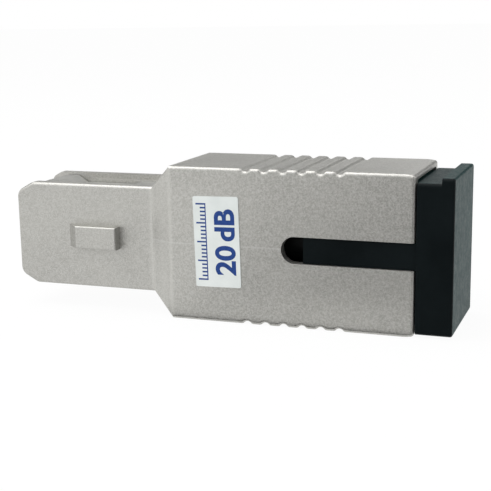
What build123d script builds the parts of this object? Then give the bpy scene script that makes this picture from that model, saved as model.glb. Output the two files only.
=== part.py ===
from build123d import *
import os

# A plug-to-socket fibre attenuator, in millimetres. The origin is on the optical axis, at the
# plane of the plug plates' front ends. +X runs from the plug to the socket, +Z is up, and the
# wide face with the label looks towards -Y. The part rests on its narrow lower side.

# Plug end: two plates around the frame
plug_width = 9.0
plate_length = 13.0
plate_thickness = 0.9
front_corner_length = 1.55
front_corner_drop = 0.85
rear_corner_length = 0.9
rear_corner_drop = 0.5
front_corner_round = 0.9
rear_corner_round = 0.5

# Coding key on the front plate
key_front = 5.12
key_ramp = 1.0
key_length = 4.78
key_width = 1.94
key_height = 0.9
key_round = 0.12

# Release rails inside the plates
rail_thickness = 0.9
rail_height = 1.0
rail_front = 0.5
rail_lead = 1.75
rail_step = 0.05
ramp_front = 3.2
ramp_length = 1.7
ramp_drop = 0.4

# Taper between the plates and the body
neck_length = 2.05
shoulder_depth = 2.4

# Body
hook_room = 1.25
edge_round = 0.27
wall_narrow = 0.7
wall_wide = 0.9
mouth_room = 2.1
mouth_recess = 0.2
ease_length = 0.9
ease_drop = 0.12

# Grip grooves on both narrow sides
groove_count = 6
groove_first = 6.65
groove_pitch = 1.562
groove_width = 0.72
groove_depth = 0.23
groove_round = 0.3

# Key slot in the front wall
slot_play = 0.13
slot_length = 10.8

# Ferrule, its collar and the fibre in it
ferrule_diameter = 2.5
ferrule_stand_out = 0.8
ferrule_chamfer = 0.35
socket_depth = 13.6
fibre_diameter = 0.125
fibre_clearance = 0.0005
anchor_length = 1.4
anchor_depth = 0.2
collar_place = 7.0
collar_length = 1.6
collar_edge = 0.25
hub_skin = 0.37
hub_length = 1.2
notch_count = 4
notch_width = 0.6
notch_depth = 0.35

# Split sleeve
sleeve_length = 11.4
sleeve_wall = 0.35
sleeve_fit = 0.012
sleeve_slot = 0.6
sleeve_play = 0.1
sleeve_end_play = 0.15
sleeve_edge = 0.06

# Sleeve holder
push_travel = 1.5
tube_wall = 0.55
tube_front_gap = 0.6
lip_length = 0.6
lip_play = 0.2
lip_chamfer = 0.2
flange_front_thickness = 1.2
flange_gap = 2.7
flange_rear_thickness = 1.3
hub_wall = 0.65
web_thickness = 1.0
hook_side_gap = 0.2
hook_thickness = 0.6
tooth_length = 1.0
tooth_bite = 0.45
hook_lead = 0.9
holder_round = 0.3
plug_stop_gap = 0.5

# Plug frame
frame_recess = 0.3
frame_side_wall = 0.35
frame_wall = 0.4
seat_thickness = 0.8
seat_width = 0.35
lead_length = 1.75
lead_drop = 0.85
ledge_drop = 0.05
catch_wall = 1.0
catch_depth = 0.6
catch_length = 5.4
nose_length = 2.0
frame_round = 0.15

# Spring and its stop
spring_wire = 0.4
spring_turns = 5.25
spring_gap = 0.1
stop_length = 1.0
stop_play = 0.15
stop_edge = 0.15

# Dust cap
cap_stand_out = 2.0
cap_tip_gap = 1.8
cap_wall = 0.8
cap_floor = 1.2
cap_flange_inset_width = 0.25
cap_flange_thickness = 1.0
cap_flange_round = 0.3
cap_key_recess = 0.2
cap_lip_drop = 0.44
cap_round = 0.2

# Label
label_width = 3.95
label_height = 7.55
label_thickness = 0.08
label_place = 4.17
label_rise = 0.33
label_round = 0.15
label_tilt = 1.2

# Clearances between the pieces, and the overrun that every cut shares
slide_gap = 0.1
socket_gap = 0.05
cap_gap = 0.05
cap_play = 0.28
lip_gap = 0.1
fit_gap = 0.05
seat_gap = 0.02
overrun = 1.0

# Round sections, from the ferrule outwards
sleeve_outer = ferrule_diameter + 2 * sleeve_wall
sleeve_bore = ferrule_diameter + 2 * sleeve_fit
tube_bore = sleeve_outer + 2 * sleeve_play
tube_outer = tube_bore + 2 * tube_wall
lip_diameter = ferrule_diameter + 2 * lip_play
stop_hole = ferrule_diameter + 2 * stop_play
hub_diameter = ferrule_diameter + 2 * hub_skin
nose_bore = tube_outer + 2 * fit_gap
nose_outer = nose_bore + 2 * frame_wall
collar_diameter = nose_bore - 2 * slide_gap
seat_hole = collar_diameter - 2 * seat_width
frame_bore = tube_outer + 2 * slide_gap

# Depths in Y, from the frame's bore outwards: the plug is 7.4 deep and the body 9.3
frame_depth = frame_bore + 2 * frame_side_wall
plate_gap = frame_depth + 2 * slide_gap
plug_depth = plate_gap + 2 * plate_thickness
cavity_depth = plug_depth + 2 * socket_gap
body_depth = cavity_depth + 2 * wall_wide
rail_gap = plate_gap - 2 * rail_thickness
ridge_depth = rail_gap - 2 * slide_gap
tooth_width = ridge_depth - 2 * slide_gap
hook_width = plate_gap - 2 * hook_side_gap
holder_depth = cavity_depth - 2 * slide_gap
cap_depth = cavity_depth - 2 * cap_gap
cap_flange_depth = body_depth - 2 * cap_gap
cap_key_height = wall_wide + cap_gap - cap_key_recess

# Widths in Z, from the plug outwards: the body is 12.9 wide
cavity_width = plug_width + 2 * hook_room
body_width = cavity_width + 2 * wall_narrow
mouth_width = cavity_width + 2 * mouth_recess
slot_width = key_width + 2 * slot_play
rail_top = plug_width / 2 - rail_step
rail_low = rail_top - ramp_drop
rail_bottom = plug_width / 2 - rail_height
neck_opening_width = 2 * rail_bottom
frame_height = neck_opening_width - 2 * slide_gap
ledge_top = rail_top - ledge_drop
catch_floor = ledge_top - catch_depth
holder_width = cavity_width - 2 * slide_gap
hook_top = ledge_top + slide_gap + slide_gap
hook_tip = ledge_top - tooth_bite
hook_seat = rail_low + slide_gap
cap_width = mouth_width - 2 * cap_play
cap_plate_width = plug_width - 2 * cap_gap
cap_flange_width = body_width - 2 * cap_flange_inset_width
cap_key_width = slot_width - 2 * cap_gap

# Places along the axis: the holder sets where a mating plug stops, and that sets the body's end
key_end = key_front + key_length
ledge_end = ramp_front + catch_wall
seat_place = collar_place - seat_thickness
neck_front = plate_length
body_front = neck_front + neck_length
shoulder_face = neck_front + shoulder_depth
ferrule_front = -ferrule_stand_out
holder_front = shoulder_face + push_travel + slide_gap
hub_end = holder_front + flange_front_thickness + flange_gap
holder_back = hub_end + flange_rear_thickness
nose_end = holder_front + nose_length
mate_front = holder_back + plug_stop_gap
datum = mate_front - ferrule_stand_out
body_end = datum + socket_depth
hook_catch = mate_front + ledge_end + slide_gap
tooth_end = hook_catch + tooth_length
hook_end = tooth_end + hook_lead
mouth_step = hook_end + mouth_room
slot_end = body_end - slot_length
sleeve_front = datum - sleeve_length / 2
sleeve_end = datum + sleeve_length / 2
tube_front = sleeve_front - tube_front_gap
tube_end = sleeve_end + sleeve_end_play + lip_length
stop_front = tube_front - stop_length
cap_tip = slot_end + cap_tip_gap
cap_shoulder = mouth_step + slide_gap
cap_flange_front = body_end + cap_stand_out
cap_end = cap_flange_front + cap_flange_thickness


def block(start, end, depth, width, mode=Mode.ADD):
    """A block on the axis between two places along it, with its full depth and width."""
    with Locations((start, 0, 0)):
        Box(end - start, depth, width, align=(Align.MIN, Align.CENTER, Align.CENTER), mode=mode)


def round_bar(start, end, diameter, mode=Mode.ADD):
    """A round bar on the axis between two places along it."""
    with BuildSketch(Plane.YZ.offset(start)) as section:
        Circle(diameter / 2)
    extrude(section.sketch, amount=end - start, mode=mode)


def plate_outline(corner_length, corner_drop, corner_round):
    """Outline of a plug plate in its own plane: a tongue with two eased front corners."""
    half = plug_width / 2
    with BuildLine() as rim_line:
        Polyline(
            (neck_front, half),
            (corner_length, half),
            (0, half - corner_drop),
            (0, corner_drop - half),
            (corner_length, -half),
            (neck_front, -half),
            close=True,
        )
    face = make_face(rim_line.edges())
    eased = face.vertices().filter_by(lambda v: v.X < neck_front / 2)
    fillet(eased, corner_round)


# Outer housing: one casting with the plates, the taper and the hollow body
with BuildPart() as outer_housing:
    # Front plate, with its outer rim eased
    with BuildSketch(Plane.XZ.offset(plate_gap / 2)):
        plate_outline(front_corner_length, front_corner_drop, front_corner_round)
    extrude(amount=plate_thickness)
    rim = outer_housing.faces().sort_by(Axis.Y)[0].edges()
    fillet(rim.sort_by(Axis.X)[:-1], edge_round)

    # Rear plate, the same with smaller corners
    with BuildSketch(Plane.XZ.offset(-plate_gap / 2)):
        plate_outline(rear_corner_length, rear_corner_drop, rear_corner_round)
    extrude(amount=-plate_thickness)
    rim = outer_housing.faces().sort_by(Axis.Y)[-1].edges()
    fillet(rim.sort_by(Axis.X)[:-1], edge_round)

    # Body: the side outline with its grip grooves and eased mouth
    groove_cutter = (groove_width**2 / 4 + groove_depth**2) / (2 * groove_depth)
    groove_centre = body_width / 2 - groove_depth + groove_cutter
    groove_places = [
        (body_front + groove_first + index * groove_pitch, side * groove_centre)
        for index in range(groove_count)
        for side in (-1, 1)
    ]
    ease_start = body_end - ease_length
    mouth_half = body_width / 2 - ease_drop
    with BuildSketch(Plane.XZ) as side_outline:
        with BuildLine():
            upper = Line((body_front, body_width / 2), (ease_start, body_width / 2))
            upper_ease = TangentArc(upper @ 1, (body_end, mouth_half), tangent=(1, 0))
            mouth = Line(upper_ease @ 1, (body_end, -mouth_half))
            lower = Line((body_front, -body_width / 2), (ease_start, -body_width / 2))
            TangentArc(lower @ 1, mouth @ 1, tangent=(1, 0))
            Line(lower @ 0, upper @ 0)
        make_face()
        with Locations(*groove_places):
            Circle(groove_cutter, mode=Mode.SUBTRACT)
        grip_corners = side_outline.vertices().filter_by(lambda v: body_front < v.X < ease_start)
        fillet(grip_corners, groove_round)
    extrude(amount=body_depth / 2, both=True)
    front_rim = outer_housing.faces().sort_by(Axis.Y)[0].edges()
    rear_rim = outer_housing.faces().sort_by(Axis.Y)[-1].edges()
    mouth_rim = outer_housing.faces().sort_by(Axis.X)[-1].edges()
    long_rims = front_rim.sort_by(Axis.X)[1:] + rear_rim.sort_by(Axis.X)[1:]
    fillet(long_rims + mouth_rim.filter_by(Axis.Y), edge_round)

    # Taper from the plug section to the body section
    with BuildSketch(Plane.YZ.offset(neck_front)):
        RectangleRounded(plug_depth, plug_width, edge_round)
    with BuildSketch(Plane.YZ.offset(body_front)):
        RectangleRounded(body_depth, body_width, edge_round)
    loft(ruled=True)

    # Hollow of the body, its wider mouth, and the opening through the taper
    block(shoulder_face, body_end + overrun, cavity_depth, cavity_width, Mode.SUBTRACT)
    block(mouth_step, body_end + overrun, cavity_depth, mouth_width, Mode.SUBTRACT)
    block(neck_front - overrun, shoulder_face + overrun, plate_gap, neck_opening_width, Mode.SUBTRACT)

    # Key slot with a round end, open at the mouth
    with BuildSketch(Plane.XZ.offset(body_depth / 2 + overrun)):
        with Locations((slot_end + slot_width / 2, 0)):
            Circle(slot_width / 2)
            Rectangle(slot_length, slot_width, align=(Align.MIN, Align.CENTER))
    extrude(amount=-(overrun + wall_wide + overrun), mode=Mode.SUBTRACT)

    # Release rails along both edges of both plates, with their ramps
    for side in (-1, 1):
        for plate in (-1, 1):
            with BuildSketch(Plane.XZ.offset(plate * plate_gap / 2)):
                with BuildLine():
                    Polyline(
                        (rail_front, side * rail_bottom),
                        (rail_front + rail_lead, side * rail_top),
                        (ramp_front, side * rail_top),
                        (ramp_front + ramp_length, side * rail_low),
                        (neck_front, side * rail_low),
                        (neck_front, side * rail_bottom),
                        close=True,
                    )
                make_face()
            extrude(amount=-plate * rail_thickness)

    # Coding key, with its ramp towards the plug's end
    key_face = plug_depth / 2
    with BuildSketch(Plane.XY):
        with BuildLine():
            Polyline(
                (key_front, -key_face),
                (key_front + key_ramp, -key_face - key_height),
                (key_end, -key_face - key_height),
                (key_end, -key_face),
                close=True,
            )
        make_face()
    extrude(amount=key_width / 2, both=True)
    key_top = outer_housing.faces().filter_by(Axis.Y).sort_by(Axis.Y)
    key_top = [f for f in key_top if f.center().X < neck_front][0]
    fillet(key_top.edges(), key_round)

outer_housing.part.label = "outer_housing"


# Plug frame: between the plates, with the two latch ledges and the ferrule's seat
with BuildPart() as plug_frame:
    frame_end = neck_front - slide_gap
    block(frame_recess, frame_end, frame_depth, frame_height)
    for side in (-1, 1):
        with BuildSketch(Plane.XZ):
            with BuildLine():
                Polyline(
                    (frame_recess, 0),
                    (frame_recess, side * (ledge_top - lead_drop)),
                    (frame_recess + lead_length, side * ledge_top),
                    (ramp_front, side * ledge_top),
                    (ledge_end, side * catch_floor),
                    (ledge_end + catch_length, side * catch_floor),
                    (ledge_end + catch_length, side * rail_low),
                    (frame_end, side * rail_low),
                    (frame_end, 0),
                    close=True,
                )
            make_face()
        extrude(amount=ridge_depth / 2, both=True)

    # Spigot through the taper, and the round nose that the holder is pressed onto
    block(frame_end, holder_front - seat_gap, frame_depth, neck_opening_width - 2 * slide_gap)
    round_bar(holder_front - seat_gap, nose_end, nose_outer)

    # Bore for the mating tube, the collar's seat, and the spring's bore
    round_bar(frame_recess - overrun, seat_place, frame_bore, Mode.SUBTRACT)
    round_bar(seat_place - overrun, collar_place, seat_hole, Mode.SUBTRACT)
    round_bar(collar_place - seat_gap, nose_end + overrun, nose_bore, Mode.SUBTRACT)
    front_face = plug_frame.faces().sort_by(Axis.X)[0]
    chamfer(front_face.edges(), frame_round)

plug_frame.part.label = "plug_frame"


# Ferrule: one long ceramic rod, with an anchor groove under its collar
with BuildPart() as ferrule:
    ferrule_radius = ferrule_diameter / 2
    anchor_radius = ferrule_radius - anchor_depth
    fibre_hole = fibre_diameter / 2 + fibre_clearance
    with BuildSketch(Plane.XY):
        with BuildLine():
            Polyline(
                (ferrule_front, fibre_hole),
                (ferrule_front, ferrule_radius - ferrule_chamfer),
                (ferrule_front + ferrule_chamfer, ferrule_radius),
                (collar_place, ferrule_radius),
                (collar_place, anchor_radius),
                (collar_place + anchor_length, anchor_radius),
                (collar_place + anchor_length, ferrule_radius),
                (datum - ferrule_chamfer, ferrule_radius),
                (datum, ferrule_radius - ferrule_chamfer),
                (datum, fibre_hole),
                close=True,
            )
        make_face()
    revolve(axis=Axis.X)

ferrule.part.label = "ferrule"


# Attenuating fibre, bonded along the whole ferrule
with BuildPart() as attenuating_fibre:
    round_bar(ferrule_front, datum, fibre_diameter)

attenuating_fibre.part.label = "attenuating_fibre"


# Collar moulded into the ferrule's anchor groove, with notches that key it
with BuildPart() as ferrule_collar:
    collar_end = collar_place + collar_length
    collar_radius = collar_diameter / 2
    with BuildSketch(Plane.XY):
        with BuildLine():
            Polyline(
                (collar_place, anchor_radius),
                (collar_place, collar_radius - collar_edge),
                (collar_place + collar_edge, collar_radius),
                (collar_end, collar_radius),
                (collar_end, hub_diameter / 2),
                (collar_end + hub_length, hub_diameter / 2),
                (collar_end + hub_length, ferrule_radius),
                (collar_place + anchor_length, ferrule_radius),
                (collar_place + anchor_length, anchor_radius),
                close=True,
            )
        make_face()
    revolve(axis=Axis.X)
    with BuildSketch(Plane.YZ.offset(collar_place)):
        with PolarLocations(collar_radius, notch_count):
            Rectangle(2 * notch_depth, notch_width)
    extrude(amount=collar_length, mode=Mode.SUBTRACT)

ferrule_collar.part.label = "ferrule_collar"


# Spring between the collar and the stop
with BuildPart() as ferrule_spring:
    coil_front = collar_end + spring_gap + spring_wire / 2
    coil_length = stop_front - spring_gap - spring_wire / 2 - coil_front
    coil_radius = (hub_diameter + nose_bore) / 4
    with BuildLine():
        coil = Helix(
            pitch=coil_length / spring_turns,
            height=coil_length,
            radius=coil_radius,
            center=(coil_front, 0, 0),
            direction=(1, 0, 0),
        )
    with BuildSketch(Plane(origin=coil @ 0, z_dir=coil % 0)):
        Circle(spring_wire / 2)
    sweep(is_frenet=True)

ferrule_spring.part.label = "ferrule_spring"


# Stop ring behind the spring: it also keeps the sleeve in its tube
with BuildPart() as spring_stop:
    round_bar(stop_front, tube_front - seat_gap, nose_bore - 2 * fit_gap)
    round_bar(stop_front - overrun, tube_front + overrun, stop_hole, Mode.SUBTRACT)
    ring_rims = spring_stop.faces().filter_by(Axis.X).edges()
    chamfer(ring_rims, stop_edge)

spring_stop.part.label = "spring_stop"


# Split sleeve: a slotted ceramic tube that lines the two ferrules up
with BuildPart() as split_sleeve:
    round_bar(sleeve_front, sleeve_end, sleeve_outer)
    round_bar(sleeve_front - overrun, sleeve_end + overrun, sleeve_bore, Mode.SUBTRACT)
    chamfer(split_sleeve.faces().filter_by(Axis.X).edges(), sleeve_edge)
    with BuildSketch(Plane.YZ.offset(sleeve_front - overrun)):
        Rectangle(sleeve_outer, sleeve_slot, align=(Align.MIN, Align.CENTER))
    extrude(amount=sleeve_length + 2 * overrun, mode=Mode.SUBTRACT)

split_sleeve.part.label = "split_sleeve"


# Sleeve holder: a spool with the sleeve's tube through it and two latch hooks
with BuildPart() as sleeve_holder:
    spool_bore = nose_outer + 2 * fit_gap
    block(holder_front, holder_front + flange_front_thickness, holder_depth, holder_width)
    block(hub_end, holder_back, holder_depth, holder_width)
    fillet(sleeve_holder.edges().filter_by(Axis.X), holder_round)
    block(holder_front, holder_back, web_thickness, holder_width)
    block(holder_front, holder_back, holder_depth, web_thickness)
    round_bar(holder_front, holder_back, spool_bore + 2 * hub_wall)
    round_bar(tube_front, tube_end, tube_outer)

    # Hooks: an arm over the mating ledge, a shoulder for the release rails and a tooth
    ramp_start = mate_front + ramp_front
    tooth_reach = catch_wall * tooth_bite / catch_depth
    for side in (-1, 1):
        with BuildSketch(Plane.XZ):
            with BuildLine():
                Polyline(
                    (hub_end, side * hook_top),
                    (ramp_start, side * hook_top),
                    (ramp_start + ramp_length, side * hook_seat),
                    (tooth_end, side * hook_seat),
                    (hook_end, side * hook_top),
                    (hook_end, side * (hook_top + hook_thickness)),
                    (hub_end, side * (hook_top + hook_thickness)),
                    close=True,
                )
            make_face()
        extrude(amount=hook_width / 2, both=True)
        with BuildSketch(Plane.XZ):
            with BuildLine():
                Polyline(
                    (hook_catch - tooth_reach, side * hook_top),
                    (hook_catch, side * hook_tip),
                    (tooth_end, side * hook_tip),
                    (hook_end, side * hook_top),
                    close=True,
                )
            make_face()
        extrude(amount=tooth_width / 2, both=True)

    # Socket for the frame's nose, around the tube
    with BuildSketch(Plane.YZ.offset(holder_front)):
        Circle(spool_bore / 2)
        Circle(tube_outer / 2, mode=Mode.SUBTRACT)
    extrude(amount=nose_length + slide_gap, mode=Mode.SUBTRACT)

    # Bore for the sleeve, with a lip at the socket's side that keeps it in
    round_bar(tube_front - overrun, tube_end - lip_length, tube_bore, Mode.SUBTRACT)
    round_bar(tube_end - lip_length - overrun, tube_end + overrun, lip_diameter, Mode.SUBTRACT)
    tube_mouth = sleeve_holder.faces().filter_by(Axis.X).sort_by(Axis.X)
    tube_mouth = [f for f in tube_mouth if abs(f.center().X - tube_end) < lip_chamfer][0]
    chamfer(tube_mouth.edges(), lip_chamfer)

sleeve_holder.part.label = "sleeve_holder"


# Dust cap: a hollow plug with a key rib, a lip in front of the mouth and a pull flange
with BuildPart() as dust_cap:
    block(cap_tip, cap_shoulder, cap_depth, cap_plate_width)
    block(cap_shoulder, cap_flange_front, cap_depth, cap_width)
    fillet(dust_cap.edges().filter_by(Axis.X), cap_round)
    with BuildSketch(Plane.YZ.offset(cap_flange_front)):
        RectangleRounded(cap_flange_depth, cap_flange_width, cap_flange_round)
    extrude(amount=cap_flange_thickness)
    cap_rim = dust_cap.faces().sort_by(Axis.X)[-1].edges()
    fillet(cap_rim, cap_round)

    # Lip in front of the mouth: level with the flange below, and a step lower above
    with BuildSketch(Plane.YZ.offset(body_end + lip_gap)):
        with Locations((0, -cap_lip_drop / 2)):
            RectangleRounded(cap_flange_depth, cap_flange_width - cap_lip_drop, cap_flange_round)
    extrude(amount=cap_stand_out - lip_gap)

    # Rib that fills the key slot, and the hollow
    rib_length = cap_flange_front - cap_tip
    rib_height = cap_key_height + cap_wall / 2
    with Locations((cap_tip, -cap_depth / 2 + cap_wall / 2, 0)):
        Box(rib_length, rib_height, cap_key_width, align=(Align.MIN, Align.MAX, Align.CENTER))
    hollow_depth = cap_depth - 2 * cap_wall
    hollow_width = cap_width - 2 * cap_wall
    block(cap_tip - overrun, cap_end - cap_floor, hollow_depth, hollow_width, Mode.SUBTRACT)

dust_cap.part.label = "dust_cap"


# Label: a thin sticker on the wide face, a little out of square
label_plane = Plane(
    origin=(body_front + label_place, -body_depth / 2, label_rise),
    x_dir=Vector(1, 0, 0).rotate(Axis.Y, -label_tilt),
    z_dir=(0, -1, 0),
)
with BuildPart() as label:
    with BuildSketch(label_plane):
        RectangleRounded(label_width, label_height, label_round)
    extrude(amount=label_thickness)

label.part.label = "label"


os.makedirs("parts", exist_ok=True)
export_step(outer_housing.part, "parts/outer_housing.step")
export_step(plug_frame.part, "parts/plug_frame.step")
export_step(ferrule.part, "parts/ferrule.step")
export_step(attenuating_fibre.part, "parts/attenuating_fibre.step")
export_step(ferrule_collar.part, "parts/ferrule_collar.step")
export_step(ferrule_spring.part, "parts/ferrule_spring.step")
export_step(spring_stop.part, "parts/spring_stop.step")
export_step(split_sleeve.part, "parts/split_sleeve.step")
export_step(sleeve_holder.part, "parts/sleeve_holder.step")
export_step(dust_cap.part, "parts/dust_cap.step")
export_step(label.part, "parts/label.step")
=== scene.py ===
import math

import bmesh
import bpy
from mathutils import Matrix, Vector


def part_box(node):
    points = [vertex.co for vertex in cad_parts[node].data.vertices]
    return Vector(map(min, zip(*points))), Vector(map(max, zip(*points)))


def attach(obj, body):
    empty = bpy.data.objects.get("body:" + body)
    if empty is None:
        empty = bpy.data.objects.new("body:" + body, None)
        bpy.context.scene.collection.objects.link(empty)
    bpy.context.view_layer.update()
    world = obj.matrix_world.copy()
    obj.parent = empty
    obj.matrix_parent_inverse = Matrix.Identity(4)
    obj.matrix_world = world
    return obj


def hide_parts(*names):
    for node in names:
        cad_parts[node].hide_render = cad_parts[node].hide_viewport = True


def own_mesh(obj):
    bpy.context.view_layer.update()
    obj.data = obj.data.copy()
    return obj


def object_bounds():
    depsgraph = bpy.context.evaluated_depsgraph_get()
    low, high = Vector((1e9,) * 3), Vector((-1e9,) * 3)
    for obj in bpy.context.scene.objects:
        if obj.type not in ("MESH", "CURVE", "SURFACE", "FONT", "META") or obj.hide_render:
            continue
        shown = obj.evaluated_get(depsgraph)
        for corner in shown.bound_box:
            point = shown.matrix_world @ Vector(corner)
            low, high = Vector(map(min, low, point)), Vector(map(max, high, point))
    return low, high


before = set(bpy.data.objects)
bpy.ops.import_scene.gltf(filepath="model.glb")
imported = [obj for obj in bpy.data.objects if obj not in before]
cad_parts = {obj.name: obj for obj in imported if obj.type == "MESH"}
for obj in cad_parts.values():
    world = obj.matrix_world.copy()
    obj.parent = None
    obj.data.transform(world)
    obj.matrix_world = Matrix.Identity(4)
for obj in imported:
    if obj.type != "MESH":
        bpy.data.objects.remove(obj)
cad_low, cad_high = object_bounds()

# One millimetre of the real part, in the frame's metres
MM = 0.001

# Pieces that the print and the coil follow
label_low, label_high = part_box("label")
spring_low, spring_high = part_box("ferrule_spring")

# Places along the housing that its finish follows
NECK_FRONT = 13.0 * MM
BODY_FRONT = 15.05 * MM
SLOT_END = 24.7 * MM
PARTING_HEIGHT = 0.05 * MM

# Print on the label, with the photograph's places and sizes
LABEL_TILT = math.radians(1.2)
PRINT_THICKNESS = 0.006 * MM
PRINT_SINK = 0.002 * MM
VALUE_TEXT = "20 dB"
VALUE_LENGTH = 5.5 * MM
VALUE_HEIGHT = 1.82 * MM
VALUE_ACROSS = 0.72 * MM
VALUE_ALONG = 0.0 * MM
VALUE_BOLDNESS = 0.03
VALUE_WORD_GAP = 0.5
VALUE_DRAFT_DEPTH = 0.5
VALUE_WELD = 1e-5
SCALE_ACROSS = -0.95 * MM
SCALE_ALONG = 0.0 * MM
SCALE_LENGTH = 6.3 * MM
SCALE_STEPS = 20
SCALE_LONG_EVERY = 5
TICK_WIDTH = 0.13 * MM
TICK_SHORT = 0.42 * MM
TICK_LONG = 0.78 * MM
RULE_WIDTH = 0.09 * MM

# Spring
SPRING_TURNS = 5.25
SPRING_STEPS = 168
WIRE_RADIUS = 0.2 * MM
WIRE_SIDES = 12

# Colours of the finishes: a darker and a lighter tone of each
NICKEL = ((0.375, 0.37, 0.345, 1), (0.43, 0.425, 0.395, 1))
# A lighter copy of the nickel: painted light for the inner frame
LIT_INNER_NICKEL = ((0.52, 0.52, 0.495, 1), (0.62, 0.615, 0.585, 1))
WHITE_PAPER = ((0.66, 0.70, 0.685, 1), (0.73, 0.765, 0.75, 1))
BLUE_INK = ((0.014, 0.046, 0.19, 1), (0.022, 0.062, 0.25, 1))
WHITE_ZIRCONIA = ((0.80, 0.79, 0.75, 1), (0.86, 0.85, 0.82, 1))
DOPED_GLASS = ((0.85, 0.9, 0.95, 1), (0.9, 0.94, 0.98, 1))
YELLOW_BRASS = ((0.55, 0.38, 0.14, 1), (0.66, 0.48, 0.2, 1))
SPRING_STEEL = ((0.5, 0.5, 0.5, 1), (0.6, 0.6, 0.6, 1))
CAP_BLACK = ((0.0028, 0.005, 0.0057, 1), (0.0048, 0.0077, 0.0087, 1))
HOLDER_BLACK = ((0.004, 0.0045, 0.005, 1), (0.007, 0.0075, 0.008, 1))
COLLAR_CREAM = ((0.55, 0.54, 0.50, 1), (0.62, 0.61, 0.57, 1))
WHITE = (1, 1, 1, 1)

# The cap's matte skin, which shines faintly green at a flat angle
CAP_SKIN = {"Specular_IOR_Level": 0.2, "Sheen_Weight": 0.1, "Sheen_Roughness": 0.3,
            "Sheen_Tint": (0.2, 1.0, 0.96, 1)}

# Marks on the housing's plating: the colour of each, and how much of it shows; the lighter creases and taper
# are a painted highlight
SPECK_COLOUR = (0.66, 0.655, 0.63, 1)
SPECK_SHARE = 0.62
# Painted highlight: the creases and the taper between them are lightened
PAINTED_HIGHLIGHT_COLOUR = (0.66, 0.655, 0.62, 1)
PAINTED_HIGHLIGHT_SHARE = 0.4
TAPER_HIGHLIGHT_SHARE = 0.5
PARTING_COLOUR = (0.62, 0.62, 0.60, 1)
PARTING_SHARE = 0.5
RUB_COLOUR = (0.60, 0.60, 0.58, 1)
RUB_SHARE = 0.2

# Half widths of the soft lines on the housing; the crease and taper lines carry a painted highlight
NECK_CREASE_HALF = 0.45 * MM
BODY_CREASE_HALF = 0.32 * MM
TAPER_HIGHLIGHT_HALF = 1.4 * MM
PARTING_HALF = 0.12 * MM

# Camera, as fitted to the photograph
VIEW_TARGET = Vector((18 * MM, 0, 0))
VIEW_AZIMUTH = 20.258
VIEW_ELEVATION = 11.917
VIEW_ROLL = math.radians(-0.950)
VIEW_DISTANCE = 94.594 * MM
VIEW_SIDE = 1.870 * MM
VIEW_RISE = -0.956 * MM
VIEW_LENS = 80.57
SENSOR = 36.0
CLIP_NEAR = 1 * MM
CLIP_FAR = 10.0

# Surroundings
FLOOR_HALF = 2.0
FLOOR_PAINT = (0.9, 0.9, 0.9, 1)
FLOOR_WHITE_SHARE = 0.95
WORLD_LEVEL = 0.75

# Soft lamps: azimuth and elevation around the part, in degrees
LAMPS = [
    {"name": "key_light", "azimuth": -48, "elevation": 38, "distance": 320 * MM,
     "width": 240 * MM, "height": 240 * MM, "radiance": 1.0},
    {"name": "top_light", "azimuth": -75, "elevation": 72, "distance": 300 * MM,
     "width": 260 * MM, "height": 220 * MM, "radiance": 2.6},
]

# Dark cards that stand around the part
STANDING_CARDS = [
    {"name": "side_card", "azimuth": 32, "elevation": 16, "distance": 250 * MM,
     "width": 240 * MM, "height": 200 * MM, "tone": 0.12},
    {"name": "back_card", "azimuth": -138, "elevation": 28, "distance": 250 * MM,
     "width": 320 * MM, "height": 200 * MM, "tone": 0.32},
    {"name": "groove_card", "azimuth": 164, "elevation": 20, "distance": 250 * MM,
     "width": 110 * MM, "height": 150 * MM, "tone": 0.02},
]

# Cards that lie just over the floor in front of the part, the darkest one at its foot; the edge and foot
# cards are a painted shadow at the part's foot, which only the reflections see
LYING_CARDS = [
    {"name": "edge_shadow_card", "x": 28.5 * MM, "y": -5.55 * MM, "rise": 0.1 * MM,
     "width": 33 * MM, "height": 1.6 * MM, "tone": 0.02},
    {"name": "foot_shadow_card", "x": 28.5 * MM, "y": -7.25 * MM, "rise": 0.2 * MM,
     "width": 33 * MM, "height": 4.5 * MM, "tone": 0.7},
    {"name": "floor_card", "x": 74 * MM, "y": -65.5 * MM, "rise": 0.5 * MM,
     "width": 115 * MM, "height": 111 * MM, "tone": 0.24},
]

# Inputs and output of a colour Mix node, by number because their names repeat
MIX_FACTOR, MIX_FIRST, MIX_SECOND, MIX_RESULT = 0, 6, 7, 2


def per_mm(count):
    """A texture scale that repeats this many times in each millimetre."""
    return count / MM


def set_inputs(tree, made, inputs):
    """Links the inputs that are given as sockets, and sets the others."""
    for name, value in inputs.items():
        if isinstance(value, bpy.types.NodeSocket):
            tree.links.new(value, made.inputs[name])
        else:
            made.inputs[name].default_value = value


def node(tree, kind, inputs=None, **settings):
    """Adds a node, with its settings and with its inputs set or linked."""
    made = tree.nodes.new(kind)
    for name, value in settings.items():
        setattr(made, name, value)
    set_inputs(tree, made, inputs or {})
    return made


def calc(tree, operation, first, second=0.0, clamp=False):
    """One step of arithmetic between values or sockets."""
    made = node(tree, "ShaderNodeMath", {0: first, 1: second}, operation=operation, use_clamp=clamp)
    return made.outputs[0]


def blend_colours(tree, factor, first, second):
    """A colour between two colours."""
    made = node(tree, "ShaderNodeMix", {MIX_FACTOR: factor, MIX_FIRST: first, MIX_SECOND: second},
                data_type="RGBA")
    return made.outputs[MIX_RESULT]


def noise(tree, place, scale, detail, roughness=0.5):
    """A cloud of noise between nought and one."""
    made = node(tree, "ShaderNodeTexNoise",
                {"Vector": place, "Scale": scale, "Detail": detail, "Roughness": roughness})
    return made.outputs["Fac"]


def stretch(tree, value, low, high):
    """Stretches the values between two limits to nought and one."""
    made = node(tree, "ShaderNodeMapRange", {"Value": value, "From Min": low, "From Max": high})
    return made.outputs["Result"]


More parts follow.
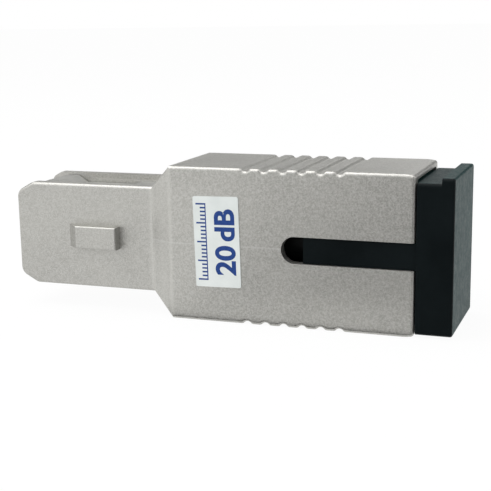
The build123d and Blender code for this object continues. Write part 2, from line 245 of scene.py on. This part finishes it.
def start_group(name, inputs, outputs):
    """An empty node group with named sockets, its input node and its output node."""
    tree = bpy.data.node_groups.new(name, "ShaderNodeTree")
    for label, kind, value in inputs:
        socket = tree.interface.new_socket(name=label, in_out="INPUT", socket_type=kind)
        if value is not None:
            socket.default_value = value
    for label, kind in outputs:
        tree.interface.new_socket(name=label, in_out="OUTPUT", socket_type=kind)
    return tree, tree.nodes.new("NodeGroupInput"), tree.nodes.new("NodeGroupOutput")


def make_grain_group():
    """Fine cast or moulded grain: a height for bump and a mask for colour and roughness."""
    tree, given, result = start_group(
        "surface_grain",
        [("Vector", "NodeSocketVector", None), ("Fine", "NodeSocketFloat", per_mm(6)),
         ("Coarse", "NodeSocketFloat", per_mm(1.5))],
        [("Height", "NodeSocketFloat"), ("Mask", "NodeSocketFloat")],
    )
    place = given.outputs["Vector"]
    fine_share, coarse_share = 0.65, 0.35
    fine = noise(tree, place, given.outputs["Fine"], detail=3.0, roughness=0.6)
    coarse = noise(tree, place, given.outputs["Coarse"], detail=2.0)
    height = calc(tree, "ADD", calc(tree, "MULTIPLY", fine, fine_share),
                  calc(tree, "MULTIPLY", coarse, coarse_share))
    tree.links.new(height, result.inputs["Height"])
    tree.links.new(stretch(tree, height, low=0.38, high=0.62), result.inputs["Mask"])
    return tree


def make_drift_group():
    """Slow change of tone over a surface, between a darker and a lighter colour."""
    tree, given, result = start_group(
        "tone_drift",
        [("Vector", "NodeSocketVector", None), ("Scale", "NodeSocketFloat", per_mm(0.2)),
         ("Dark", "NodeSocketColor", None), ("Light", "NodeSocketColor", None)],
        [("Color", "NodeSocketColor")],
    )
    cloud = noise(tree, given.outputs["Vector"], given.outputs["Scale"], detail=4.0, roughness=0.55)
    mixed = blend_colours(tree, stretch(tree, cloud, low=0.35, high=0.65),
                          given.outputs["Dark"], given.outputs["Light"])
    tree.links.new(mixed, result.inputs["Color"])
    return tree


def make_rub_group():
    """Faint rubs and short scratches from handling, longer one way."""
    tree, given, result = start_group(
        "handling_rubs",
        [("Vector", "NodeSocketVector", None), ("Scale", "NodeSocketFloat", per_mm(2.5))],
        [("Mask", "NodeSocketFloat")],
    )
    place = given.outputs["Vector"]
    stretched = node(tree, "ShaderNodeMapping",
                     {"Vector": place, "Rotation": (0.2, 0.5, 0.1), "Scale": (0.12, 1.0, 1.0)})
    lines = noise(tree, stretched.outputs["Vector"], given.outputs["Scale"], detail=5.0, roughness=0.7)
    patches = noise(tree, place, per_mm(0.35), detail=1.0)
    both = calc(tree, "MULTIPLY", stretch(tree, lines, low=0.58, high=0.7),
                stretch(tree, patches, low=0.45, high=0.65))
    tree.links.new(both, result.inputs["Mask"])
    return tree


def make_line_group():
    """A soft line where a coordinate passes a place."""
    tree, given, result = start_group(
        "soft_line",
        [("Value", "NodeSocketFloat", 0.0), ("Place", "NodeSocketFloat", 0.0),
         ("Half Width", "NodeSocketFloat", 0.1 * MM)],
        [("Mask", "NodeSocketFloat")],
    )
    away = calc(tree, "ABSOLUTE", calc(tree, "SUBTRACT", given.outputs["Value"], given.outputs["Place"]))
    line = node(tree, "ShaderNodeMapRange",
                {"Value": away, "From Min": given.outputs["Half Width"], "From Max": 0.0},
                interpolation_type="SMOOTHSTEP")
    tree.links.new(line.outputs["Result"], result.inputs["Mask"])
    return tree


GRAIN = make_grain_group()
DRIFT = make_drift_group()
RUBS = make_rub_group()
LINE = make_line_group()


def place_group(tree, group, inputs):
    """Places a node group in a material, with its inputs set or linked."""
    made = tree.nodes.new("ShaderNodeGroup")
    made.node_tree = group
    set_inputs(tree, made, inputs)
    return made.outputs


def grain_of(tree, place, fine, coarse):
    """Grain with so many fine and so many coarse specks along a millimetre."""
    return place_group(tree, GRAIN, {"Vector": place, "Fine": per_mm(fine), "Coarse": per_mm(coarse)})


def drifting_tone(tree, place, clouds, tones):
    """A colour that drifts between two tones, with so many clouds along a millimetre."""
    dark, light = tones
    inputs = {"Vector": place, "Scale": per_mm(clouds), "Dark": dark, "Light": light}
    return place_group(tree, DRIFT, inputs)["Color"]


def rubs_of(tree, place, marks):
    """Rubs, with so many marks along a millimetre."""
    return place_group(tree, RUBS, {"Vector": place, "Scale": per_mm(marks)})["Mask"]


def soft_line(tree, coordinate, place, half_width):
    """A soft line across the piece, where its coordinate passes the place."""
    return place_group(tree, LINE, {"Value": coordinate, "Place": place, "Half Width": half_width})["Mask"]


def start_material(name, **values):
    """A material with its shader, and the object's own coordinates."""
    material = bpy.data.materials.new(name)
    material.use_nodes = True
    tree = material.node_tree
    shader = tree.nodes["Principled BSDF"]
    for label, value in values.items():
        shader.inputs[label.replace("_", " ")].default_value = value
    place = node(tree, "ShaderNodeTexCoord").outputs["Object"]
    return material, tree, shader, place


def rough_between(tree, shader, mask, low, high):
    """Roughness that follows a mask."""
    spread = node(tree, "ShaderNodeMapRange", {"Value": mask, "To Min": low, "To Max": high})
    tree.links.new(spread.outputs["Result"], shader.inputs["Roughness"])


def bump(tree, shader, height, depth, strength):
    """Bump of a real depth."""
    made = node(tree, "ShaderNodeBump", {"Height": height, "Strength": strength, "Distance": depth})
    tree.links.new(made.outputs["Normal"], shader.inputs["Normal"])


def housing_marks(tree, place):
    """Where painted highlights lie along the housing's creases and over its taper, and where its parting
    line runs.
    """
    axes = node(tree, "ShaderNodeSeparateXYZ", {"Vector": place})
    along, height = axes.outputs["X"], axes.outputs["Z"]

    # Painted highlights along the creases at both ends of the taper, and over the taper between them
    neck_crease = soft_line(tree, along, NECK_FRONT, NECK_CREASE_HALF)
    body_crease = soft_line(tree, along, BODY_FRONT, BODY_CREASE_HALF)
    taper = soft_line(tree, along, (NECK_FRONT + BODY_FRONT) / 2, TAPER_HIGHLIGHT_HALF)
    taper_highlight = calc(tree, "MULTIPLY", taper, TAPER_HIGHLIGHT_SHARE)
    both_creases = calc(tree, "ADD", neck_crease, body_crease)
    painted_highlight = calc(tree, "ADD", both_creases, taper_highlight, clamp=True)

    # Parting line at mid height, from the taper to the slot
    line = soft_line(tree, height, PARTING_HEIGHT, PARTING_HALF)
    after_neck = calc(tree, "GREATER_THAN", along, NECK_FRONT)
    before_slot = calc(tree, "LESS_THAN", along, SLOT_END)
    parting = calc(tree, "MULTIPLY", line, calc(tree, "MULTIPLY", after_neck, before_slot))
    return painted_highlight, parting


def plated_casting():
    """Satin nickel on a zinc casting: fine grain, a faint parting line, and painted highlights along the
    creases and taper.
    """
    material, tree, shader, place = start_material("plated_casting", Metallic=0.9)
    grain = grain_of(tree, place, fine=10, coarse=5)
    painted_highlight, parting = housing_marks(tree, place)
    colour = drifting_tone(tree, place, 0.16, NICKEL)
    for mask, share, mark_colour in (
        (grain["Mask"], SPECK_SHARE, SPECK_COLOUR),
        # Painted highlight: the creases and taper are lightened
        (painted_highlight, PAINTED_HIGHLIGHT_SHARE, PAINTED_HIGHLIGHT_COLOUR),
        (parting, PARTING_SHARE, PARTING_COLOUR),
        (rubs_of(tree, place, 2.2), RUB_SHARE, RUB_COLOUR),
    ):
        colour = blend_colours(tree, calc(tree, "MULTIPLY", mask, share), colour, mark_colour)
    tree.links.new(colour, shader.inputs["Base Color"])
    rough_between(tree, shader, grain["Mask"], low=0.38, high=0.5)
    bump(tree, shader, grain["Height"], depth=0.025 * MM, strength=1.0)
    return material


def plated_frame():
    """The same plating on the inner frame, a little smoother, its colour painted a little lighter as painted
    light on the frame between the plates.
    """
    material, tree, shader, place = start_material("plated_frame", Metallic=0.9)
    grain = grain_of(tree, place, fine=7, coarse=2)
    tree.links.new(drifting_tone(tree, place, 0.3, LIT_INNER_NICKEL), shader.inputs["Base Color"])
    rough_between(tree, shader, grain["Mask"], low=0.34, high=0.46)
    bump(tree, shader, grain["Height"], depth=0.015 * MM, strength=0.5)
    return material


def label_paper():
    """Coated white paper with faint fibres."""
    material, tree, shader, place = start_material("label_paper", Roughness=0.45)
    fibres = grain_of(tree, place, fine=9, coarse=3)
    tree.links.new(drifting_tone(tree, place, 0.5, WHITE_PAPER), shader.inputs["Base Color"])
    bump(tree, shader, fibres["Height"], depth=0.004 * MM, strength=0.4)
    return material


def label_ink():
    """Blue print, with the paper's grain just showing."""
    material, tree, shader, place = start_material(
        "label_ink", Roughness=0.4, Specular_Tint=(0.3, 0.3, 0.3, 1))
    grain = grain_of(tree, place, fine=9, coarse=4)
    tree.links.new(blend_colours(tree, grain["Mask"], *BLUE_INK), shader.inputs["Base Color"])
    return material


def moulded_plastic(name, tones, low, high, gloss, **skin):
    """Plastic with the fine skin of its mould, its roughness between two limits."""
    material, tree, shader, place = start_material(name, Specular_Tint=(gloss, gloss, gloss, 1), **skin)
    grain = grain_of(tree, place, fine=5, coarse=1.2)
    tree.links.new(drifting_tone(tree, place, 0.25, tones), shader.inputs["Base Color"])
    rough_between(tree, shader, grain["Mask"], low, high)
    bump(tree, shader, grain["Height"], depth=0.02 * MM, strength=0.5)
    return material


def polished_ceramic():
    """White zirconia, ground and polished."""
    material, tree, shader, place = start_material("polished_ceramic", Specular_IOR_Level=0.7)
    grain = grain_of(tree, place, fine=12, coarse=4)
    tree.links.new(drifting_tone(tree, place, 0.4, WHITE_ZIRCONIA), shader.inputs["Base Color"])
    rough_between(tree, shader, grain["Mask"], low=0.12, high=0.2)
    return material


def clear_glass():
    """The fibre's doped glass."""
    material, tree, shader, place = start_material(
        "clear_glass", Roughness=0.05, Transmission_Weight=1.0, IOR=1.46)
    tree.links.new(drifting_tone(tree, place, 1, DOPED_GLASS), shader.inputs["Base Color"])
    return material


def turned_brass():
    """Brass with the rings that the lathe leaves."""
    material, tree, shader, place = start_material("turned_brass", Metallic=1.0)
    axes = node(tree, "ShaderNodeSeparateXYZ", {"Vector": place})
    across = node(tree, "ShaderNodeCombineXYZ", {"X": axes.outputs["Y"], "Y": axes.outputs["Z"]})
    radius = node(tree, "ShaderNodeVectorMath", {0: across.outputs["Vector"]}, operation="LENGTH")
    turned = node(tree, "ShaderNodeCombineXYZ", {"X": axes.outputs["X"], "Y": radius.outputs["Value"]})
    rings = noise(tree, turned.outputs["Vector"], per_mm(14), detail=2.0)
    tree.links.new(drifting_tone(tree, place, 0.5, YELLOW_BRASS), shader.inputs["Base Color"])
    rough_between(tree, shader, rings, low=0.2, high=0.45)
    bump(tree, shader, rings, depth=0.01 * MM, strength=0.4)
    return material


def drawn_steel():
    """Spring wire with fine die marks."""
    material, tree, shader, place = start_material("drawn_steel", Metallic=1.0)
    tree.links.new(drifting_tone(tree, place, 0.6, SPRING_STEEL), shader.inputs["Base Color"])
    rough_between(tree, shader, rubs_of(tree, place, 6), low=0.22, high=0.4)
    return material


CASTING = plated_casting()
FRAME_PLATE = plated_frame()
PAPER = label_paper()
INK = label_ink()
CERAMIC = polished_ceramic()
GLASS = clear_glass()
BRASS = turned_brass()
STEEL = drawn_steel()
BLACK = moulded_plastic("black_plastic", CAP_BLACK, low=0.42, high=0.56, gloss=0.25, **CAP_SKIN)
DARK = moulded_plastic("dark_plastic", HOLDER_BLACK, low=0.4, high=0.55, gloss=0.4)
PALE = moulded_plastic("pale_plastic", COLLAR_CREAM, low=0.35, high=0.5, gloss=1.0)

FINISHES = {
    "outer_housing": CASTING,
    "plug_frame": FRAME_PLATE,
    "ferrule": CERAMIC,
    "split_sleeve": CERAMIC,
    "attenuating_fibre": GLASS,
    "ferrule_collar": PALE,
    "ferrule_spring": STEEL,
    "spring_stop": BRASS,
    "sleeve_holder": DARK,
    "dust_cap": BLACK,
    "label": PAPER,
}
for name, finish in FINISHES.items():
    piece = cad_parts[name]
    if not piece.material_slots:
        piece.data.materials.append(finish)
    for held in piece.material_slots:
        held.material = finish


def add_mesh(name, shape, material):
    """Makes a mesh object from a bmesh, with its finish."""
    mesh = bpy.data.meshes.new(name)
    shape.to_mesh(mesh)
    shape.free()
    mesh.materials.append(material)
    made = bpy.data.objects.new(name, mesh)
    bpy.context.scene.collection.objects.link(made)
    return made


def add_piece(name, shape, material, body):
    """Makes a piece of the part from a bmesh, with its finish and its body."""
    piece = add_mesh(name, shape, material)
    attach(piece, body)
    return piece


# The label's own directions: print runs upwards, and the tops of its figures point to the plug
label_centre = (label_low + label_high) / 2
along = Vector((-math.sin(LABEL_TILT), 0, math.cos(LABEL_TILT)))
across = Vector((math.cos(LABEL_TILT), 0, math.sin(LABEL_TILT)))
PRINT_BACK = label_low.y + PRINT_SINK


def print_place(offset_along, offset_across):
    """The placing of flat print on the label, from its own plane to the part."""
    centre = Vector((label_centre.x, PRINT_BACK, label_centre.z))
    centre += along * offset_along + across * offset_across
    turned = Matrix((along, -across, Vector((0, -1, 0)))).transposed().to_4x4()
    return Matrix.Translation(centre) @ turned


def print_value():
    """The attenuation value, in plain bold figures."""
    curve = bpy.data.curves.new("value_text", "FONT")
    curve.body = VALUE_TEXT
    curve.offset = VALUE_BOLDNESS
    curve.space_word = VALUE_WORD_GAP
    curve.extrude = VALUE_DRAFT_DEPTH
    text = bpy.data.objects.new("value_text", curve)
    bpy.context.scene.collection.objects.link(text)
    mesh = bpy.data.meshes.new_from_object(text.evaluated_get(bpy.context.evaluated_depsgraph_get()))
    bpy.data.objects.remove(text)
    shape = bmesh.new()
    shape.from_mesh(mesh)
    bpy.data.meshes.remove(mesh)
    bmesh.ops.remove_doubles(shape, verts=shape.verts, dist=VALUE_WELD)
    low = Vector([min(v.co[i] for v in shape.verts) for i in range(3)])
    high = Vector([max(v.co[i] for v in shape.verts) for i in range(3)])
    size = high - low
    bmesh.ops.translate(shape, verts=shape.verts, vec=-(low + high) / 2)
    bmesh.ops.scale(shape, verts=shape.verts,
                    vec=(VALUE_LENGTH / size.x, VALUE_HEIGHT / size.y, PRINT_THICKNESS / size.z))
    bmesh.ops.translate(shape, verts=shape.verts, vec=(0, 0, PRINT_THICKNESS / 2))
    bmesh.ops.transform(shape, matrix=print_place(VALUE_ALONG, VALUE_ACROSS), verts=shape.verts)
    add_piece("value_print", shape, INK, "housing")


def add_bar(shape, middle, foot, length, height):
    """A flat bar of print, placed by the middle of its foot."""
    bar = bmesh.ops.create_cube(shape, size=1.0)["verts"]
    bmesh.ops.scale(shape, verts=bar, vec=(length, height, PRINT_THICKNESS))
    bmesh.ops.translate(shape, verts=bar, vec=(middle, foot + height / 2, PRINT_THICKNESS / 2))


def print_scale():
    """A plain tick scale beside the value."""
    shape = bmesh.new()
    step = SCALE_LENGTH / SCALE_STEPS
    for index in range(SCALE_STEPS + 1):
        tall = TICK_LONG if index % SCALE_LONG_EVERY == 0 else TICK_SHORT
        add_bar(shape, index * step - SCALE_LENGTH / 2, 0, TICK_WIDTH, tall)
    add_bar(shape, 0, -RULE_WIDTH, SCALE_LENGTH + TICK_WIDTH, RULE_WIDTH)
    bmesh.ops.transform(shape, matrix=print_place(SCALE_ALONG, SCALE_ACROSS), verts=shape.verts)
    add_piece("scale_print", shape, INK, "housing")


def coil_spring():
    """The spring as a coil of wire, which moves with the core."""
    coil_radius = spring_high.z - WIRE_RADIUS
    start = spring_low.x + WIRE_RADIUS
    length = spring_high.x - spring_low.x - 2 * WIRE_RADIUS
    shape = bmesh.new()
    ring = bmesh.ops.create_circle(shape, segments=WIRE_SIDES, radius=WIRE_RADIUS)["verts"]
    bmesh.ops.rotate(shape, verts=ring, cent=(0, 0, 0), matrix=Matrix.Rotation(math.radians(90), 3, "X"))
    bmesh.ops.translate(shape, verts=ring, vec=(start, 0, coil_radius))
    bmesh.ops.spin(shape, geom=shape.verts[:] + shape.edges[:], cent=(0, 0, 0), axis=(1, 0, 0),
                   dvec=(length / SPRING_STEPS, 0, 0), angle=math.radians(360) * SPRING_TURNS,
                   steps=SPRING_STEPS, use_merge=False, use_duplicate=False)
    bmesh.ops.holes_fill(shape, edges=[e for e in shape.edges if e.is_boundary], sides=0)
    bmesh.ops.recalc_face_normals(shape, faces=shape.faces)
    for face in shape.faces:
        face.smooth = True
    spring = add_piece("spring_coil", shape, STEEL, "core")
    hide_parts("ferrule_spring")
    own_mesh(spring)


print_value()
print_scale()
coil_spring()


def seen_mask(tree):
    """One where a ray shows the surroundings: straight, in metal or through glass."""
    path = node(tree, "ShaderNodeLightPath")
    seen = calc(tree, "ADD", path.outputs["Is Camera Ray"], path.outputs["Is Glossy Ray"], clamp=True)
    return calc(tree, "ADD", seen, path.outputs["Is Transmission Ray"], clamp=True)


def make_floor():
    """The pale floor: white to the camera and in reflections, with the part's shadow kept."""
    material = bpy.data.materials.new("pale_floor")
    material.use_nodes = True
    tree = material.node_tree
    tree.nodes.clear()
    paint = node(tree, "ShaderNodeBsdfDiffuse", {"Color": FLOOR_PAINT})
    glow = node(tree, "ShaderNodeEmission", {"Color": WHITE, "Strength": 1.0})
    share = calc(tree, "MULTIPLY", seen_mask(tree), FLOOR_WHITE_SHARE)
    mixed = node(tree, "ShaderNodeMixShader", {0: share, 1: paint.outputs[0], 2: glow.outputs[0]})
    output = node(tree, "ShaderNodeOutputMaterial")
    tree.links.new(mixed.outputs[0], output.inputs["Surface"])
    shape = bmesh.new()
    bmesh.ops.create_grid(shape, x_segments=1, y_segments=1, size=FLOOR_HALF)
    bmesh.ops.translate(shape, verts=shape.verts, vec=(0, 0, cad_low.z))
    add_mesh("floor", shape, material)


def make_world():
    """White surroundings, with a softer level for the light that they give."""
    world = bpy.data.worlds.new("surroundings")
    bpy.context.scene.world = world
    world.use_nodes = True
    tree = world.node_tree
    tree.nodes.clear()
    light = node(tree, "ShaderNodeBackground", {"Color": WHITE, "Strength": WORLD_LEVEL})
    white = node(tree, "ShaderNodeBackground", {"Color": WHITE, "Strength": 1.0})
    mixed = node(tree, "ShaderNodeMixShader", {0: seen_mask(tree), 1: light.outputs[0], 2: white.outputs[0]})
    output = node(tree, "ShaderNodeOutputWorld")
    tree.links.new(mixed.outputs[0], output.inputs["Surface"])


def direction(azimuth, elevation):
    """The way from the part to a place around it; azimuth 0 is in front, 90 at the socket's end."""
    a, e = math.radians(azimuth), math.radians(elevation)
    return Vector((math.sin(a) * math.cos(e), -math.cos(a) * math.cos(e), math.sin(e)))


def add_lamp(name, azimuth, elevation, distance, width, height, radiance):
    """A soft box that faces the part."""
    data = bpy.data.lights.new(name, "AREA")
    data.shape = "RECTANGLE"
    data.size = width
    data.size_y = height
    data.energy = radiance * math.pi * width * height
    lamp = bpy.data.objects.new(name, data)
    away = direction(azimuth, elevation)
    lamp.location = VIEW_TARGET + away * distance
    lamp.rotation_mode = "QUATERNION"
    lamp.rotation_quaternion = away.to_track_quat("Z", "Y")
    bpy.context.scene.collection.objects.link(lamp)


def add_card(name, place, facing, width, height, tone):
    """A card that only the reflections see, and that shapes them in metal and plastic."""
    material = bpy.data.materials.new(name)
    material.use_nodes = True
    shader = material.node_tree.nodes["Principled BSDF"]
    shader.inputs["Base Color"].default_value = (tone, tone, tone, 1)
    shader.inputs["Roughness"].default_value = 1.0
    shader.inputs["Specular IOR Level"].default_value = 0.0
    shape = bmesh.new()
    bmesh.ops.create_grid(shape, x_segments=1, y_segments=1, size=0.5)
    bmesh.ops.scale(shape, verts=shape.verts, vec=(width, height, 1))
    turned = facing.to_track_quat("Z", "Y").to_matrix().to_4x4()
    bmesh.ops.transform(shape, matrix=Matrix.Translation(place) @ turned, verts=shape.verts)
    card = add_mesh(name, shape, material)
    card.visible_camera = False
    card.visible_diffuse = False
    card.visible_shadow = False


def stand_card(name, azimuth, elevation, distance, width, height, tone):
    """A card that stands around the part and faces away from it."""
    away = direction(azimuth, elevation)
    add_card(name, VIEW_TARGET + away * distance, away, width, height, tone)


def lay_card(name, x, y, rise, width, height, tone):
    """A card that lies just over the floor."""
    add_card(name, Vector((x, y, cad_low.z + rise)), Vector((0, 0, 1)), width, height, tone)


def make_camera():
    """The camera at the photograph's angle."""
    back = direction(VIEW_AZIMUTH, VIEW_ELEVATION)
    level = Vector((0, 0, 1)).cross(back).normalized()
    upright = back.cross(level)
    right = level * math.cos(VIEW_ROLL) + upright * math.sin(VIEW_ROLL)
    up = upright * math.cos(VIEW_ROLL) - level * math.sin(VIEW_ROLL)
    place = VIEW_TARGET + back * VIEW_DISTANCE + right * VIEW_SIDE + up * VIEW_RISE
    data = bpy.data.cameras.new("camera")
    data.lens = VIEW_LENS
    data.sensor_width = SENSOR
    data.clip_start = CLIP_NEAR
    data.clip_end = CLIP_FAR
    camera = bpy.data.objects.new("camera", data)
    camera.matrix_world = Matrix.Translation(place) @ Matrix((right, up, back)).transposed().to_4x4()
    bpy.context.scene.collection.objects.link(camera)
    bpy.context.scene.camera = camera


make_floor()
make_world()
for lamp in LAMPS:
    add_lamp(**lamp)
for card in STANDING_CARDS:
    stand_card(**card)
for card in LYING_CARDS:
    lay_card(**card)
make_camera()
bpy.context.scene.view_settings.view_transform = "Standard"
